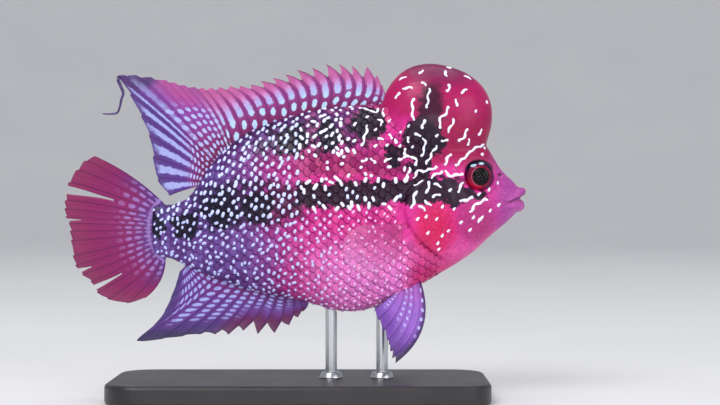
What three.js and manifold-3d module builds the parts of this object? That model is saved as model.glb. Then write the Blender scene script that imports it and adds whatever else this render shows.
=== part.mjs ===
// A young flowerhorn cichlid, 119 mm from lips to tail, as a still life-size model.
// The fish swims towards +X with +Z up, its right flank towards -Y, and two rods hold it over a flat base.
// All lengths are millimetres. The origin is the middle of the base's underside.
import * as THREE from "three";
import { mergeVertices } from "three/addons/utils/BufferGeometryUtils.js";
import Module from "manifold-3d";

const wasm = await Module();
wasm.setup();

// Driving dimensions
const gap = 0.32; // clearance between touching pieces
const baseLength = 96;
const baseWidth = 46;
const baseHeight = 5;
const baseCorner = 9;
const baseEdge = 0.8;
const rodRadius = 1.5;
const rodPlaces = { stand_rod_front: 21, stand_rod_rear: 8 };
const rodSink = 2.5; // how deep a rod stands in the base
const eyeRadius = 3.7;
const eyeHalfDepth = 2.2;
const eyeMiddle = { x: 45.4, y: 6.5, z: 56.5 };
const tailBend = 0.0011; // sideways sweep behind the middle of the body, per mm squared
const membrane = 0.27; // half thickness of a fin's skin at its root
const membraneTip = 0.25; // and at its tip
const rayHeight = 0.47; // half thickness over a ray at its root
const rayTip = 0.26; // and at its tip
const rayFlank = 0.17; // half width of a ray's ridge, as a share of the ray spacing

// A smooth curve through [position, value] pairs, with the tangent at each from its neighbours.
function curveThrough(pairs) {
  const last = pairs.length - 1;
  const slope = pairs.map((_, i) => {
    const [a, b] = [pairs[Math.max(i - 1, 0)], pairs[Math.min(i + 1, last)]];
    return (b[1] - a[1]) / (b[0] - a[0]);
  });
  return (x) => {
    let i = 0;
    while (i < last - 1 && x > pairs[i + 1][0]) i++;
    const [[x0, y0], [x1, y1]] = [pairs[i], pairs[i + 1]];
    const width = x1 - x0;
    const t = THREE.MathUtils.clamp((x - x0) / width, 0, 1);
    const [t2, t3] = [t * t, t * t * t];
    return (2 * t3 - 3 * t2 + 1) * y0 + (t3 - 2 * t2 + t) * width * slope[i]
      + (3 * t2 - 2 * t3) * y1 + (t3 - t2) * width * slope[i + 1];
  };
}

// The body's back line, belly line and half width along its length, without the hump
const backLine = curveThrough([
  [-37.4, 49.4], [-33.3, 49.5], [-29.2, 50.9], [-26.1, 54.6], [-23, 59.4], [-19.2, 63.6], [-14.1, 67.3],
  [-7.7, 70.2], [0, 72.6], [7.7, 74.1], [21.8, 74.9], [35.8, 71.7], [42.2, 68.6], [47.9, 64.2], [50.7, 59.6],
  [52.7, 57.1], [54.6, 55.4], [55.8, 53.9],
]);
const bellyLine = curveThrough([
  [-37.4, 36.4], [-33.8, 35.4], [-30, 33.9], [-25.6, 32], [-20.5, 30], [-14.1, 27.9], [-6.4, 26], [0, 24.8],
  [4.6, 23.4], [8.2, 22.3], [12.8, 21.8], [17.9, 22.5], [21.8, 24.1], [31, 28.8], [39.7, 33.8], [44.5, 37.1],
  [48.9, 41.2], [52, 43.8], [54.6, 46.1], [55.8, 47.6],
]);
const halfWidth = curveThrough([
  [-37.4, 1.7], [-33, 2.3], [-27, 3.6], [-20, 5.4], [-10, 7.7], [0, 9.4], [10, 10.4], [20, 10.8], [30, 10.6],
  [38, 9.6], [45, 8.1], [50, 6.1], [53, 4.6], [54.9, 3.5], [55.8, 2.6],
]);
const widestShare = 0.5; // height of the widest place, from belly to back
const backTaper = 1.22; // above 1 pinches the back, below 1 rounds it
const bellyTaper = 0.9;
const bodyEnds = [-37.4, 55.8];
const bodyStations = 36;
const bodySides = 26;

// A point of the body's skin at a station and an angle, which is a quarter turn at the back line.
function skinPoint(x, angle) {
  const [top, low] = [backLine(x), bellyLine(x)];
  const wide = low + widestShare * (top - low);
  const up = Math.sin(angle);
  const side = Math.cos(angle);
  const taper = up > 0 ? backTaper : bellyTaper;
  const y = halfWidth(x) * Math.sign(side) * Math.abs(side) ** taper;
  return new THREE.Vector3(x, y, up > 0 ? wide + (top - wide) * up : wide + (wide - low) * up);
}

// Solids and geometries
function solidFrom(positions, triangles) {
  const geometry = new THREE.BufferGeometry();
  const numbers = positions.flatMap((p) => [p.x, p.y, p.z]);
  geometry.setAttribute("position", new THREE.Float32BufferAttribute(numbers, 3));
  geometry.setIndex(triangles);
  return solidOf(geometry);
}

function solidOf(source) {
  const geometry = source.index ? source.toNonIndexed() : source.clone();
  geometry.deleteAttribute("normal");
  geometry.deleteAttribute("uv");
  const merged = mergeVertices(geometry, 1e-4);
  const triVerts = new Uint32Array(merged.index.array);
  const mesh = { numProp: 3, vertProperties: merged.attributes.position.array, triVerts };
  let made = new wasm.Manifold(new wasm.Mesh(mesh));
  if (made.volume() < 0) {
    for (let i = 0; i < triVerts.length; i += 3) triVerts.subarray(i, i + 2).reverse();
    made = new wasm.Manifold(new wasm.Mesh(mesh));
  }
  return made;
}

function largest(solid) {
  return solid.decompose().reduce((a, b) => (b.volume() > a.volume() ? b : a));
}

// A closed tube of rings, each a list of points, with a middle point closing each end.
function loft(rings) {
  const sides = rings[0].length;
  const middle = (ring) => ring.reduce((sum, p) => sum.add(p), new THREE.Vector3()).divideScalar(sides);
  const points = [...rings.flat(), middle(rings[0]), middle(rings.at(-1))];
  const [first, end] = [points.length - 2, points.length - 1];
  const faces = [];
  for (let s = 0; s < sides; s++) {
    const n = (s + 1) % sides;
    for (let r = 0; r < rings.length - 1; r++) {
      const [a, b, c, d] = [r * sides + s, r * sides + n, (r + 1) * sides + n, (r + 1) * sides + s];
      faces.push(a, b, c, a, c, d);
    }
    const tail = (rings.length - 1) * sides;
    faces.push(first, n, s, end, tail + s, tail + n);
  }
  return solidFrom(points, faces);
}

// The body grown outwards by a distance, or shrunk where it is negative.
function body(growth) {
  const [from, to] = bodyEnds;
  const step = 0.05;
  const rings = [];
  for (let i = 0; i <= bodyStations; i++) {
    const x = from + (to - from) * (i / bodyStations);
    const ring = [];
    for (let s = 0; s < bodySides; s++) {
      const angle = (2 * Math.PI * (s + 0.5)) / bodySides;
      const near = Math.min(Math.max(x, from + step), to - step);
      const along = skinPoint(near + step, angle).sub(skinPoint(near - step, angle));
      const round = skinPoint(x, angle + step).sub(skinPoint(x, angle - step));
      const out = round.cross(along).normalize();
      const point = skinPoint(x, angle).addScaledVector(out, growth);
      if (i === 0) point.x = from - growth;
      if (i === bodyStations) point.x = to + growth;
      ring.push(point);
    }
    rings.push(ring);
  }
  return loft(rings);
}

// A wall-to-wall prism across the fish over an outline of [x, z] points.
function prism(outline, fromY = -40, toY = 40) {
  const shape = new THREE.Shape(outline.map(([x, z]) => new THREE.Vector2(x, z)));
  const geometry = new THREE.ExtrudeGeometry(shape, { depth: toY - fromY, bevelEnabled: false });
  return solidOf(geometry.rotateX(Math.PI / 2).translate(0, toY, 0));
}

function ball(radius, halfDepth, { x, y, z }, around = 20, high = 10) {
  const geometry = new THREE.SphereGeometry(radius, around, high).scale(1, halfDepth / radius, 1);
  return solidOf(geometry.translate(x, y, z));
}

// The hump on the forehead, an egg shape leaning forward
const hump = {
  x: 34.6,
  z: 70.9,
  halfLength: 14.5,
  halfHeight: 14.3,
  halfWidth: 8.8,
  lean: -0.29,
  fullness: 2.3, // 2 for an ellipse, more for a squarer outline
};

function humpBody(growth) {
  const power = 2 / hump.fullness;
  const shaped = (v) => Math.sign(v) * Math.abs(v) ** power;
  const geometry = new THREE.SphereGeometry(1, 22, 16);
  const place = geometry.attributes.position;
  for (let i = 0; i < place.count; i++) {
    const [u, v, w] = [place.getX(i), place.getY(i), place.getZ(i)];
    const round = Math.hypot(u, v) || 1e-9;
    const along = shaped(u / round) * round * (hump.halfLength + growth);
    const up = shaped(v / round) * round * (hump.halfHeight + growth);
    place.setXYZ(i, along, w * (hump.halfWidth + growth), up);
  }
  return solidOf(geometry.rotateY(-hump.lean).translate(hump.x, 0, hump.z));
}

// A closed tube along a path, with a radius that changes and a height that is a share of the width.
function sweep(path, radius, steps, sides) {
  const rings = [];
  for (let i = 0; i <= steps; i++) {
    const t = i / steps;
    const along = path(Math.min(t + 0.01, 1)).sub(path(Math.max(t - 0.01, 0))).normalize();
    const side = new THREE.Vector3(0.01, 0.02, 1).cross(along).normalize();
    const up = along.clone().cross(side);
    const ring = [];
    for (let s = 0; s < sides; s++) {
      const angle = (2 * Math.PI * s) / sides;
      const point = path(t).addScaledVector(side, radius(t) * Math.cos(angle));
      point.addScaledVector(up, radius(t) * Math.sin(angle));
      ring.push(point);
    }
    rings.push(ring);
  }
  return loft(rings);
}

// Fins. A fin is a fan of rays: ray u runs from its root to its tip on a bent line, with thin skin between.
// A tear between two rays opens from a share of their length to the margin.
const tearWidth = (t) => THREE.MathUtils.lerp(0.05, 0.22, t); // half of it, as a share of the ray spacing

function columnsOf(fin) {
  const columns = [];
  for (let ray = 0; ray < fin.rays; ray++) {
    const tear = (fin.tears ?? []).find((one) => one.after === ray);
    if (ray > 0) columns.push({ u: () => ray - rayFlank, ridge: false, notch: true });
    columns.push({ u: () => ray, ridge: true });
    if (ray === fin.rays - 1) continue;
    columns.push({ u: () => ray + rayFlank, ridge: false });
    if (!tear) continue;
    const open = (t) => tearWidth(THREE.MathUtils.clamp((t - tear.from) / (1 - tear.from), 0, 1));
    columns.push({ u: (t) => ray + 0.5 - open(t), ridge: false, tear: tear.from });
    columns.push({ u: (t) => ray + 0.5 + open(t), ridge: false });
  }
  return columns;
}

function finSolid(fin) {
  const columns = columnsOf(fin);
  const steps = fin.steps;
  const points = [];
  const faces = [];
  const index = (c, j, back) => (c * (steps + 1) + j) * 2 + (back ? 1 : 0);
  columns.forEach((column) => {
    for (let j = 0; j <= steps; j++) {
      const share = j / steps;
      const u = column.u(share);
      const notch = column.notch && fin.notch ? fin.notch(u) : 0;
      const t = share * (1 - notch * share);
      const root = fin.root(u);
      const tip = fin.tip(u);
      const along = tip.clone().sub(root);
      const bulge = new THREE.Vector2(along.y, -along.x).normalize().multiplyScalar(fin.bulge(u));
      const bend = root.clone().add(tip).multiplyScalar(0.5).add(bulge);
      const flat = root.clone().multiplyScalar((1 - t) ** 2);
      flat.addScaledVector(bend, 2 * t * (1 - t)).addScaledVector(tip, t * t);
      const rayHalf = THREE.MathUtils.lerp(rayHeight * (fin.thick ?? 1), rayTip, t);
      const half = column.ridge ? rayHalf : THREE.MathUtils.lerp(membrane, membraneTip, t);
      const { middle, normal } = fin.place(flat, u, t);
      for (const side of [half, -half]) points.push(middle.clone().addScaledVector(normal, side));
    }
  });
  const present = (c, j) => {
    if (c < 0 || c >= columns.length - 1 || j < 0 || j >= steps) return false;
    const { tear } = columns[c];
    return tear === undefined || (j + 0.5) / steps < tear;
  };
  for (let c = 0; c < columns.length - 1; c++) {
    for (let j = 0; j < steps; j++) {
      if (!present(c, j)) continue;
      const front = [index(c, j), index(c + 1, j), index(c + 1, j + 1), index(c, j + 1)];
      const back = front.map((i) => i + 1);
      faces.push(front[0], front[1], front[2], front[0], front[2], front[3]);
      faces.push(back[0], back[2], back[1], back[0], back[3], back[2]);
      const edges = [[c, j - 1, 0, 1], [c + 1, j, 1, 2], [c, j + 1, 2, 3], [c - 1, j, 3, 0]];
      for (const [nc, nj, a, b] of edges) {
        if (!present(nc, nj)) faces.push(front[b], front[a], back[a], front[b], back[a], back[b]);
      }
    }
  }
  return solidFrom(points, faces);
}

const upright = (wave) => (flat, u, t) => ({
  middle: new THREE.Vector3(flat.x, wave(u, t), flat.y),
  normal: new THREE.Vector3(0, 1, 0),
});
const tipThrough = (keys) => {
  const [xs, zs] = [curveThrough(keys.map(([u, x]) => [u, x])), curveThrough(keys.map(([u, , z]) => [u, z]))];
  return (u) => new THREE.Vector2(xs(u), zs(u));
};
const sink = 2.2; // how far a fin's raw root reaches into the body before it is cut back

// Dorsal fin: seventeen spines with curved, separate tips, then thirteen soft rays drawn out to a point
const dorsalSpines = 17;
const dorsal = {
  rays: 30,
  steps: 6,
  root: (u) => {
    const x = u <= 16 ? 20.9 - 2.44 * u : -18.15 - 0.7 * (u - 16);
    return new THREE.Vector2(x + 0.06 * u, backLine(x) - sink);
  },
  tip: tipThrough([
    [0, 21.2, 79.2], [1, 19.7, 82.4], [2, 17.1, 84.6], [3, 13.2, 85.1], [5, 6.6, 85.2], [7, -0.9, 83.7],
    [9, -7.3, 81.8], [11, -12.9, 80.1], [14, -20.4, 79.5], [17, -27.1, 79.5], [20, -34.6, 81.3],
    [22, -41.7, 82.6], [23, -46.6, 82.4],
    [24, -44.2, 78.2], [26, -38.9, 67], [28, -36.9, 56], [29, -33.6, 51.5],
  ]),
  bulge: (u) => (u < dorsalSpines ? 2.1 : THREE.MathUtils.lerp(2.1, 0.4, (u - dorsalSpines) / 12)),
  notch: (u) => (u < 14.5 ? 0.17 : 0.03),
  place: upright((u, t) => 0.35 * Math.sin(u * 0.75) * t * t),
};
const filament = [
  [-45.2, 82.2], [-46.9, 81.9], [-46.2, 79.6], [-45.6, 78], [-46.1, 76.2], [-46.5, 74.4], [-47.2, 72.9],
  [-49.2, 72.6], [-51.2, 72.7],
];

// Anal fin: seven spines, then ten soft rays drawn out to a point
const anal = {
  rays: 17,
  steps: 6,
  root: (u) => {
    const x = 2.2 - 1.93 * u;
    return new THREE.Vector2(x, bellyLine(x) + sink);
  },
  tip: tipThrough([
    [0, 0.6, 21.8], [1, -0.5, 20.4], [2, -2.8, 18.4], [3, -6.5, 16.4], [4, -10.8, 16.1], [5, -14.6, 16.9],
    [6, -18.4, 15.9], [8, -25.6, 16], [10, -35.7, 14.7], [11, -42, 14.2], [12, -37.4, 18.5], [13, -34.8, 22],
    [15, -31.9, 28.9], [16, -31, 32],
  ]),
  bulge: (u) => (u < 7 ? -1.3 : THREE.MathUtils.lerp(-1.3, -0.2, (u - 7) / 9)),
  notch: (u) => (u < 6.5 ? 0.2 : 0.03),
  place: upright((u, t) => 0.3 * Math.sin(u * 0.9 + 1) * t * t),
};

// Tail fin: a fan of eighteen rays with worn, split lobes
const tail = {
  rays: 18,
  steps: 7,
  tears: [
    { after: 3, from: 0.5 }, { after: 6, from: 0.86 }, { after: 9, from: 0.56 }, { after: 11, from: 0.86 },
    { after: 13, from: 0.6 },
  ],
  root: (u) => {
    const across = u / 17;
    const arch = 2.4 * (2 * across - 1) ** 2;
    return new THREE.Vector2(arch - 38.8 + sink, THREE.MathUtils.lerp(49.1, 35.9, across));
  },
  tip: tipThrough([
    [0, -53, 61.8], [1, -55.6, 60.8], [2, -57.8, 58.5], [3, -60, 55.3], [4, -61, 50.6], [5, -61, 48.2],
    [6, -60.7, 46.1], [7, -59.8, 44.5], [9, -59.2, 39.9], [10, -58.7, 36], [11, -58.1, 33.5], [12, -56.4, 31.2],
    [13, -54.1, 29.3], [14, -52.5, 26.6], [15, -49.7, 24.9], [16, -44.6, 23.9], [17, -39.7, 25.3],
  ]),
  bulge: (u) => (u < 8 ? 2.2 * (1 - u / 8) : -3 * ((u - 8) / 9) ** 1.6),
  place: upright((u, t) => 0.5 * Math.sin(u * 0.55) * t * t),
};

// Chest fins: clear fans laid back along the flank. Side is 1 on the left and -1 on the right.
const pectoralRoot = { x: 27.4, y: 9.1, z: 41.6 };
const pectoral = (side) => {
  const back = new THREE.Vector3(-0.9, 0.4 * side, -0.2).normalize();
  const up = new THREE.Vector3(0.22, 0.1 * side, 1).normalize();
  const normal = back.clone().cross(up).normalize();
  return {
    rays: 10,
    steps: 5,
    thick: 1.15,
    root: (u) => new THREE.Vector2(-1.6, 2.3 - 4.6 * (u / 9)),
    tip: tipThrough([
      [0, 15.5, 5.6], [2, 18.6, 3.6], [4, 18.4, -0.6], [6, 15.4, -5], [8, 10.6, -7.8], [9, 7.4, -8.1],
    ]),
    bulge: (u) => THREE.MathUtils.lerp(-1, 0.8, u / 9),
    place: (flat, u, t) => {
      const middle = new THREE.Vector3(pectoralRoot.x, side * pectoralRoot.y, pectoralRoot.z);
      middle.addScaledVector(back, flat.x).addScaledVector(up, flat.y);
      middle.addScaledVector(normal, 0.8 * side * t * (1 - t));
      return { middle, normal };
    },
  };
};

// Belly fins: a spine and soft rays each, hanging down and spreading a little, drawn out to a point in front
const pelvicLean = 0.34; // sideways for each mm down
const pelvic = (side) => {
  const normal = new THREE.Vector3(0, 1, pelvicLean * side).normalize();
  return {
    rays: 7,
    steps: 7,
    thick: 1.25,
    root: (u) => new THREE.Vector2(30.6 - 0.95 * u, bellyLine(30.6 - 0.95 * u) + 2.6),
    tip: tipThrough([
      [0, 24.2, 9.6], [1, 23.4, 10.8], [2, 22.9, 12.6], [3, 22.2, 15], [4, 21.2, 17.6], [5, 19.9, 20.3],
      [6, 18.8, 22.6],
    ]),
    bulge: curveThrough([[0, -8.2], [1, -6.4], [2, -4.8], [4, -2.2], [6, 0]]),
    notch: (u) => (u > 0.5 ? 0.05 : 0),
    place: (flat, u, t) => {
      const out = 3.6 + pelvicLean * (29 - flat.y) + 0.5 * Math.sin(u * 1.4) * t * t;
      return { middle: new THREE.Vector3(flat.x, side * out, flat.y), normal };
    },
  };
};

// Outlines as [x, z], smoothed: where the head ends, from above the hump to the throat, and the gill cover
function smoothLine(points, closed, count) {
  const curve = new THREE.CatmullRomCurve3(points.map(([x, z]) => new THREE.Vector3(x, 0, z)), closed);
  return curve.getPoints(count).slice(0, closed ? -1 : undefined).map((p) => [p.x, p.z]);
}
const headEdge = smoothLine([
  [30.6, 92], [31, 64], [28.4, 55.6], [25.6, 48.6], [28.2, 41], [33.6, 34.6], [37.6, 29.5], [38.5, 20],
], false, 20);
const stalkEdge = [[-27.5, 92], [-27.5, 20]];
const gillOutline = smoothLine([
  [33, 57.6], [28.9, 54.8], [26.2, 48.6], [28.8, 41.2], [33.8, 35.2], [37.4, 34.2], [39.4, 41], [39.7, 47.5],
  [39, 54], [36.6, 57.8],
], true, 24);
const shifted = (line, x) => line.map(([a, b]) => [a + x, b]);

function lips() {
  const upperPath = (t) => {
    const a = Math.PI * (t - 0.5);
    return new THREE.Vector3(52.6 + 4.2 * Math.cos(a), 4 * Math.sin(a), 49.5 + 3.1 * Math.cos(a));
  };
  const lowerPath = (t) => {
    const a = Math.PI * (t - 0.5);
    return new THREE.Vector3(52.2 + 3.7 * Math.cos(a), 3.8 * Math.sin(a), 48.8 + 0.3 * Math.cos(a));
  };
  const full = (thin, thick) => (t) => thin + (thick - thin) * Math.sin(Math.PI * t) ** 0.8;
  return {
    upper: (growth) => sweep(upperPath, (t) => full(0.8, 1.25)(t) + growth, 14, 10),
    lower: (growth) => sweep(lowerPath, (t) => full(0.8, 1.85)(t) + growth, 14, 10),
  };
}

function standBase() {
  const [w, h] = [baseLength / 2 - baseEdge, baseWidth / 2 - baseEdge];
  const r = baseCorner - baseEdge;
  const shape = new THREE.Shape();
  shape.absarc(w - r, h - r, r, 0, Math.PI / 2);
  shape.absarc(r - w, h - r, r, Math.PI / 2, Math.PI);
  shape.absarc(r - w, r - h, r, Math.PI, 1.5 * Math.PI);
  shape.absarc(w - r, r - h, r, 1.5 * Math.PI, 2 * Math.PI);
  const geometry = new THREE.ExtrudeGeometry(shape, {
    depth: baseHeight - 2 * baseEdge,
    bevelSize: baseEdge,
    bevelThickness: baseEdge,
    bevelSegments: 2,
    curveSegments: 5,
  });
  return solidOf(geometry.translate(0, 0, baseEdge));
}

function rod(x, radius, low, high) {
  const geometry = new THREE.CylinderGeometry(radius, radius, high - low, 16);
  return solidOf(geometry.rotateX(Math.PI / 2).translate(x, 0, (low + high) / 2));
}

// The solids, each cut clear of its neighbours
const flesh = body(0);
const clearOfBody = body(gap);
const clearOfHump = humpBody(gap);
const frontRegion = prism([...headEdge, [70, 20], [70, 92]]);
const middleRegion = prism([...shifted(stalkEdge, gap), ...shifted(headEdge, -gap).reverse()]);
const rearRegion = prism([[-60, 20], [-60, 92], ...stalkEdge]);
const solids = {};

const gillMiddle = [33, 46];
const gillProud = 0.5; // how far the cover stands out of the flank
const gillDeep = 0.8; // and how far it reaches in
const grown = (line, share) => line.map((p) => p.map((v, i) => THREE.MathUtils.lerp(gillMiddle[i], v, share)));
const gillShell = body(gillProud).subtract(body(-gillDeep));
const underGill = body(-gillDeep - gap);
const gillReach = { left: [3, 30], right: [-30, -3] };
const nostril = { radius: 0.62, x: 51, y: 4.15, z: 56.9 };
let head = flesh.intersect(frontRegion);
for (const side of [1, -1]) {
  const word = side > 0 ? "left" : "right";
  const [from, to] = gillReach[word];
  head = head.subtract(prism(grown(gillOutline, 1.03), from, to).subtract(underGill));
  solids[`gill_cover_${word}`] = gillShell.intersect(prism(grown(gillOutline, 0.985), from, to));
  const place = { ...eyeMiddle, y: side * eyeMiddle.y };
  solids[`eye_${word}`] = ball(eyeRadius, eyeHalfDepth, place);
  head = head.subtract(ball(eyeRadius + gap, eyeHalfDepth + gap, place));
  head = head.subtract(ball(nostril.radius, nostril.radius, { ...nostril, y: side * nostril.y }, 8, 6));
  solids[`pectoral_fin_${word}`] = finSolid(pectoral(side)).subtract(clearOfBody);
  solids[`pelvic_fin_${word}`] = finSolid(pelvic(side)).subtract(clearOfBody);
}
const { upper, lower } = lips();
solids.head = head;
solids.trunk = flesh.intersect(middleRegion);
solids.tail_stalk = flesh.intersect(rearRegion);
solids.nuchal_hump = humpBody(0).subtract(clearOfBody);
solids.upper_lip = upper(0).subtract(clearOfBody);
solids.lower_lip = lower(0).subtract(clearOfBody).subtract(upper(gap));

const filamentLine = new THREE.CatmullRomCurve3(filament.map(([x, z]) => new THREE.Vector3(x, 0.3, z)));
const thread = sweep((t) => filamentLine.getPoint(t), (t) => 0.62 - 0.36 * t, 18, 6);
solids.dorsal_fin = finSolid(dorsal).add(thread).subtract(clearOfBody).subtract(clearOfHump);
solids.anal_fin = finSolid(anal).subtract(clearOfBody);
solids.tail_fin = finSolid(tail).subtract(clearOfBody);

solids.stand_base = standBase();
for (const [name, x] of Object.entries(rodPlaces)) {
  const foot = baseHeight - rodSink;
  solids[name] = rod(x, rodRadius, foot + gap, 30).subtract(clearOfBody);
  solids.stand_base = solids.stand_base.subtract(rod(x, rodRadius + gap, foot, baseHeight + 5));
}

// Colours and finish of each sub-part
const finishes = {
  skin: { color: 0xb3235f, roughness: 0.42, metalness: 0 },
  hump: { color: 0xb81a4c, roughness: 0.34, metalness: 0 },
  lip: { color: 0xc65a97, roughness: 0.4, metalness: 0 },
  fin: { color: 0x7c3a86, roughness: 0.45, metalness: 0 },
  tail: { color: 0x9c2260, roughness: 0.45, metalness: 0 },
  eye: { color: 0x7d1026, roughness: 0.12, metalness: 0 },
  base: { color: 0x2b2a2e, roughness: 0.45, metalness: 0 },
  rod: { color: 0xb9bcc2, roughness: 0.25, metalness: 1 },
};
const finishOf = (name) => {
  if (name.startsWith("eye")) return finishes.eye;
  if (name.startsWith("stand_rod")) return finishes.rod;
  if (name === "stand_base") return finishes.base;
  if (name === "tail_fin") return finishes.tail;
  if (name.includes("_fin")) return finishes.fin;
  if (name.includes("lip")) return finishes.lip;
  return name === "nuchal_hump" ? finishes.hump : finishes.skin;
};

function geometryOf(solid, bend) {
  const mesh = solid.getMesh();
  const positions = [];
  for (let i = 0; i < mesh.numVert; i++) {
    const [x, y, z] = mesh.vertProperties.subarray(i * mesh.numProp, i * mesh.numProp + 3);
    positions.push(x, y + bend * Math.min(x, 0) ** 2, z);
  }
  const geometry = new THREE.BufferGeometry();
  geometry.setAttribute("position", new THREE.Float32BufferAttribute(positions, 3));
  geometry.setIndex(new THREE.BufferAttribute(mesh.triVerts, 1));
  return geometry;
}

const fish = new THREE.Group();
for (const [name, solid] of Object.entries(solids)) {
  const bend = name.startsWith("stand") ? 0 : tailBend;
  const material = new THREE.MeshStandardMaterial(finishOf(name));
  const mesh = new THREE.Mesh(geometryOf(largest(solid), bend), material);
  mesh.name = name;
  fish.add(mesh);
}

export default fish;
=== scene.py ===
# A young flowerhorn cichlid as a life-size display model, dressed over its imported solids.
# Shapes are worked out in millimetres and turned into metres when a piece is finished.
import math
import random

import bmesh
import bpy
from mathutils import Matrix, Vector, noise
from mathutils.bvhtree import BVHTree


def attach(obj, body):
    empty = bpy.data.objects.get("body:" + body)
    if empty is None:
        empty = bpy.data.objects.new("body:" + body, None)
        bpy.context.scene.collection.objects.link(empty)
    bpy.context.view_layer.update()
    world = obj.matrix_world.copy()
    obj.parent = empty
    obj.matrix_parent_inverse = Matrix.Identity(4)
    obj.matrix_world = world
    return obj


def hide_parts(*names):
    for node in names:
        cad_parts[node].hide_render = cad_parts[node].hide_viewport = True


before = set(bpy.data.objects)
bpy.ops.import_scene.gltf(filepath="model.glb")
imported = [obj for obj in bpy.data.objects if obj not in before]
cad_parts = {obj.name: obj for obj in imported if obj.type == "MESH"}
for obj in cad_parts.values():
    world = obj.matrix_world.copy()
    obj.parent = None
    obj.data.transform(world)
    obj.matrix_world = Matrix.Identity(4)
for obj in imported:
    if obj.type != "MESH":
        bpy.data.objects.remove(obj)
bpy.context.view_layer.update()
millimetre = 0.001
tailBend = 0.0011  # sideways sweep behind the middle of the body, per mm squared


# Curves
def curveThrough(pairs):
    places = [p[0] for p in pairs]
    values = [p[1] for p in pairs]
    last = len(pairs) - 1
    slopes = []
    for i in range(len(pairs)):
        low, high = max(i - 1, 0), min(i + 1, last)
        slopes.append((values[high] - values[low]) / (places[high] - places[low]))

    def read(x):
        i = 0
        while i < last - 1 and x > places[i + 1]:
            i += 1
        width = places[i + 1] - places[i]
        t = min(max((x - places[i]) / width, 0), 1)
        square, cube = t * t, t * t * t
        start = (2 * cube - 3 * square + 1) * values[i] + (cube - 2 * square + t) * width * slopes[i]
        return start + (3 * square - 2 * cube) * values[i + 1] + (cube - square) * width * slopes[i + 1]

    return read


def lerp(a, b, t):
    return a + (b - a) * t


def smoothstep(low, high, x):
    t = min(max((x - low) / (high - low), 0), 1)
    return t * t * (3 - 2 * t)


# The body's lines, as in the solids
backLine = curveThrough([
    (-37.4, 49.4), (-33.3, 49.5), (-29.2, 50.9), (-26.1, 54.6), (-23, 59.4), (-19.2, 63.6),
    (-14.1, 67.3), (-7.7, 70.2), (0, 72.6), (7.7, 74.1), (21.8, 74.9), (35.8, 71.7), (42.2, 68.6),
    (47.9, 64.2), (50.7, 59.6), (52.7, 57.1), (54.6, 55.4), (55.8, 53.9),
])
bellyLine = curveThrough([
    (-37.4, 36.4), (-33.8, 35.4), (-30, 33.9), (-25.6, 32), (-20.5, 30), (-14.1, 27.9), (-6.4, 26),
    (0, 24.8), (4.6, 23.4), (8.2, 22.3), (12.8, 21.8), (17.9, 22.5), (21.8, 24.1), (31, 28.8),
    (39.7, 33.8), (44.5, 37.1), (48.9, 41.2), (52, 43.8), (54.6, 46.1), (55.8, 47.6),
])
halfWidth = curveThrough([
    (-37.4, 1.7), (-33, 2.3), (-27, 3.6), (-20, 5.4), (-10, 7.7), (0, 9.4), (10, 10.4), (20, 10.8),
    (30, 10.6), (38, 9.6), (45, 8.1), (50, 6.1), (53, 4.6), (54.9, 3.5), (55.8, 2.6),
])
body = dict(
    tail=-37.4, snout=55.8, backTaper=1.22, bellyTaper=0.9, stations=120, sides=72, capShare=0.035, cap=0.9,
)
hump = dict(x=34.6, z=70.9, halfLength=14.5, halfHeight=14.3, halfWidth=8.8, lean=0.29, fullness=2.3)
eye = dict(x=45.4, y=6.5, z=56.5, radius=3.7, halfDepth=2.2)


def flankPoint(x, angle):
    top, low = backLine(x), bellyLine(x)
    wide = (top + low) / 2
    up, side = math.sin(angle), math.cos(angle)
    taper = body["backTaper"] if up > 0 else body["bellyTaper"]
    y = halfWidth(x) * math.copysign(abs(side) ** taper, side)
    return Vector((x, y, wide + (top - wide) * up if up > 0 else wide + (wide - low) * up))


# Skin: body, dome and lips fused into one surface, then pressed into shape
def moldBall(bm, sides, rings, shape):
    # a ball, each of its points moved to the place that shape gives
    for vert in bmesh.ops.create_uvsphere(bm, u_segments=sides, v_segments=rings, radius=1)["verts"]:
        vert.co = shape(vert.co.copy())


def poleShare(spot):
    # the share of the way from the ball's lower pole to its upper one, and the angle round it
    return 1 - math.acos(min(max(spot.z, -1), 1)) / math.pi, math.atan2(spot.y, spot.x)


def bodyShape(spot):
    t, angle = poleShare(spot)
    cap = body["capShare"]
    x = lerp(body["tail"], body["snout"], min(max((t - cap) / (1 - 2 * cap), 0), 1))
    near = min(t, 1 - t) / cap
    middle = Vector((x, 0, (backLine(x) + bellyLine(x)) / 2))
    place = middle + (flankPoint(x, angle) - middle) * math.sqrt(max(1 - (1 - min(near, 1)) ** 2, 0))
    if near < 1:
        place.x += math.copysign((1 - near) * body["cap"], t - 0.5)
    return place


def humpShape(spot):
    along, up, across = spot
    ring = math.hypot(along, up) or 1
    power = 2 / hump["fullness"]
    along, up = [math.copysign(abs(v / ring) ** power, v) * ring for v in (along, up)]
    place = Vector((along * hump["halfLength"], across * hump["halfWidth"], up * hump["halfHeight"]))
    return Matrix.Rotation(hump["lean"], 3, "Y") @ place + Vector((hump["x"], 0, hump["z"]))


def tubeShape(path, radius):
    def shape(spot):
        t, angle = poleShare(spot)
        along = (path(min(t + 0.01, 1)) - path(max(t - 0.01, 0))).normalized()
        side = Vector((0.01, 0.02, 1)).cross(along).normalized()
        up = along.cross(side)
        reach = radius(t) * min(1, math.sqrt(max(1 - (2 * t - 1) ** 2, 0)) * 2.2)
        return path(t) + side * (reach * math.cos(angle)) + up * (reach * math.sin(angle))

    return shape


lips = [
    dict(x=52.6, z=49.5, forward=4.2, across=4, rise=3.1, thick=1.25),
    dict(x=52.2, z=48.8, forward=3.7, across=3.8, rise=0.3, thick=1.85),
]


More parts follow.
